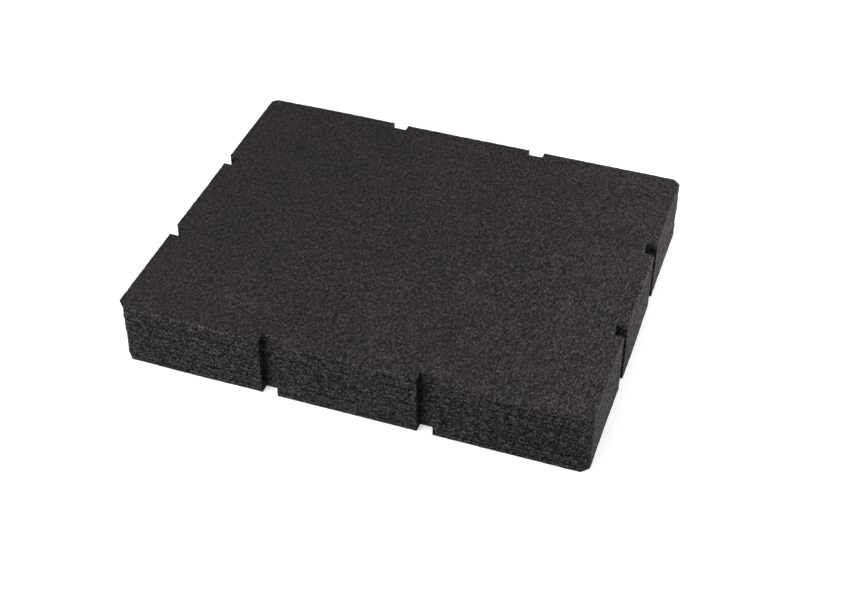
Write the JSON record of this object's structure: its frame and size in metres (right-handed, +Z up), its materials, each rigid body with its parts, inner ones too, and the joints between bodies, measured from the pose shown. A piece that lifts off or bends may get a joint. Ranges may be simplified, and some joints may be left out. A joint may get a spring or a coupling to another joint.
{
  "type": "foam tray insert",
  "caption": "Flat rectangular foam insert that lines a tool tray, made of bonded sheets, with rib notches in its edges and cut corners.",
  "frame": {"origin": "the middle of the underside, on the surface that the insert lies on", "axes": "+X along the longer side, to the right; +Y along the shorter side, to the back; +Z up through the sheets"},
  "size_m": [0.42, 0.34, 0.06],
  "materials": {
    "foam_skin": "black closed-cell polyethylene foam with a fine pebbled skin on its outer face",
    "foam_cut_edge": "black closed-cell polyethylene foam, its cut edge rough with opened cells"
  },
  "bodies": {
    "root": {"bottom_foam_sheet": "foam_skin", "foam_sheet_02": "foam_cut_edge", "foam_sheet_03": "foam_cut_edge", "foam_sheet_04": "foam_cut_edge", "foam_sheet_05": "foam_cut_edge", "foam_sheet_06": "foam_cut_edge", "foam_sheet_07": "foam_cut_edge", "foam_sheet_08": "foam_cut_edge", "foam_sheet_09": "foam_cut_edge", "foam_sheet_10": "foam_cut_edge", "foam_sheet_11": "foam_cut_edge", "top_foam_sheet": "foam_skin"}
  },
  "joints": []
}
